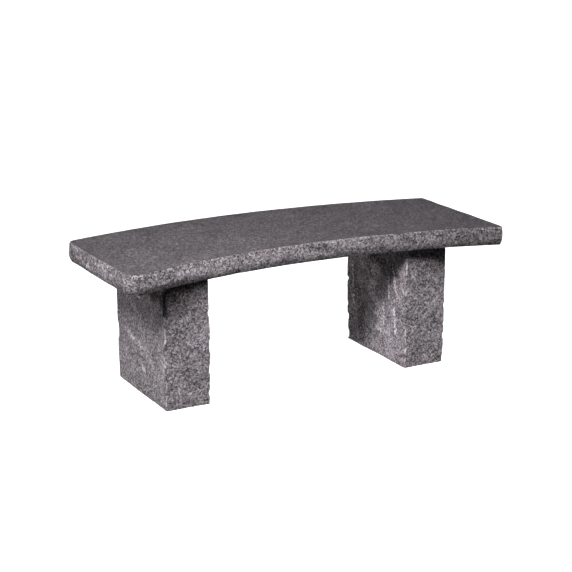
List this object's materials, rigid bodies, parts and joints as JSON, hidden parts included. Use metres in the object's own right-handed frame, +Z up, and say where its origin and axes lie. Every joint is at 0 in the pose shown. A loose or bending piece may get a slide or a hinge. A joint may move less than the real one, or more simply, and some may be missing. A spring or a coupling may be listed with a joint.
{
  "type": "backless garden bench",
  "caption": "Backless stone garden bench: an arc-shaped slab seat with a smooth top and hand-split edges, pinned and set on rough block legs.",
  "frame": {"origin": "on the ground, at the centre of the bench's footprint box", "axes": "+X along the bench to the right of someone facing its hollow front, +Y from the hollow front to the rounded back, +Z up"},
  "size_m": [1.22, 0.5367, 0.432],
  "materials": {
    "seat_granite": "fine-ground top, hand-split edges, sawn underside",
    "leg_granite": "rough split on all upright faces, sawn top and bottom",
    "pin_steel": "stainless ribbed bar, sawn ends",
    "anchor_resin": "cured anchoring resin",
    "setting_compound": "dull dark grey setting compound",
    "spacer_plastic": "moulded plastic discs"
  },
  "bodies": {
    "root": {"seat_slab": "seat_granite", "left_leg": "leg_granite", "right_leg": "leg_granite", "left_front_dowel": "pin_steel", "left_rear_dowel": "pin_steel", "right_front_dowel": "pin_steel", "right_rear_dowel": "pin_steel", "left_front_resin": "anchor_resin", "left_rear_resin": "anchor_resin", "right_front_resin": "anchor_resin", "right_rear_resin": "anchor_resin", "left_setting_bed": "setting_compound", "right_setting_bed": "setting_compound", "left_spacers": "spacer_plastic", "right_spacers": "spacer_plastic"}
  },
  "joints": []
}
